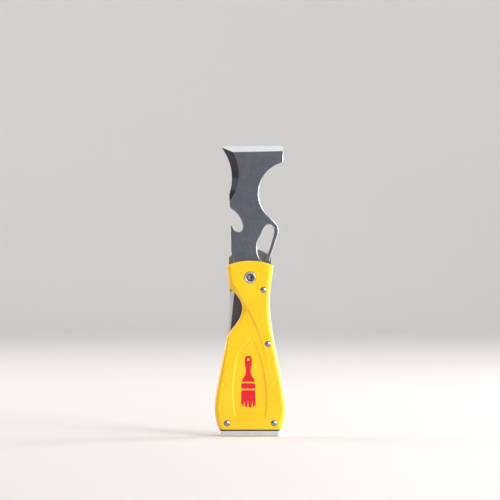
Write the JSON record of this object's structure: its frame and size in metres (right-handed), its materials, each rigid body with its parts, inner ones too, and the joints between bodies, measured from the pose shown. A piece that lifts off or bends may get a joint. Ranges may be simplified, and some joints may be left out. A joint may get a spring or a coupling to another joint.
{
  "type": "folding painters multi tool",
  "caption": "Folding painters tool: scraper blade with roller notch, hook and thumb hole, liner lock, moulded yellow handle scales, steel hammer butt and pocket clip.",
  "frame": {"origin": "centre of the hammer face, in the middle plane of the blade", "axes": "+Z along the handle towards the scraping edge, -Y out of the front face, X across the handle; blade shown open"},
  "size_m": [0.0508, 0.0224, 0.2087],
  "materials": {
    "yellow_plastic": "semi-gloss moulded plastic, fine texture",
    "liner_steel": "tumbled stainless steel",
    "blade_steel": "satin grey stainless steel, ground bright at the edges",
    "washer_bronze": "phosphor bronze, satin",
    "pin_steel": "polished steel",
    "cap_steel": "bright ground steel",
    "clip_steel": "satin spring steel"
  },
  "bodies": {
    "handle": {"front_scale": "yellow_plastic", "rear_scale": "yellow_plastic", "front_liner": "liner_steel", "rear_liner": "liner_steel", "backspacer": "liner_steel", "front_washer": "washer_bronze", "rear_washer": "washer_bronze", "pivot_barrel": "pin_steel", "pivot_screw": "pin_steel", "stop_pin": "pin_steel", "front_scale_rivet": "pin_steel", "rear_scale_rivet": "pin_steel", "left_butt_pin": "pin_steel", "right_butt_pin": "pin_steel", "hammer_cap": "cap_steel", "clip_plate": "clip_steel", "clip_screws": "pin_steel"},
    "blade": {"blade": "blade_steel"},
    "lock": {"lock_bar": "liner_steel", "detent_ball": "pin_steel"},
    "clip": {"clip_arm": "clip_steel"}
  },
  "joints": [
    {"name": "blade_fold", "type": "hinge", "parent": "handle", "child": "blade", "pos_m": [0, 0, 0.1141], "axis": [0, -1, 0], "range_deg": [0, 180]},
    {"name": "lock_release", "type": "hinge", "parent": "handle", "child": "lock", "pos_m": [0, 0.00255, 0.029], "axis": [-1, 0, 0], "range_deg": [0, 1.15]},
    {"name": "clip_flex", "type": "hinge", "parent": "handle", "child": "clip", "pos_m": [0, 0.009, 0.03], "axis": [-1, 0, 0], "range_deg": [0, 4], "stiffness_Nm_per_rad": 0.6}
  ],
  "couplings": [
    {"joint": "lock_release", "follows": "blade_fold", "ratio": 0.0063653}
  ]
}
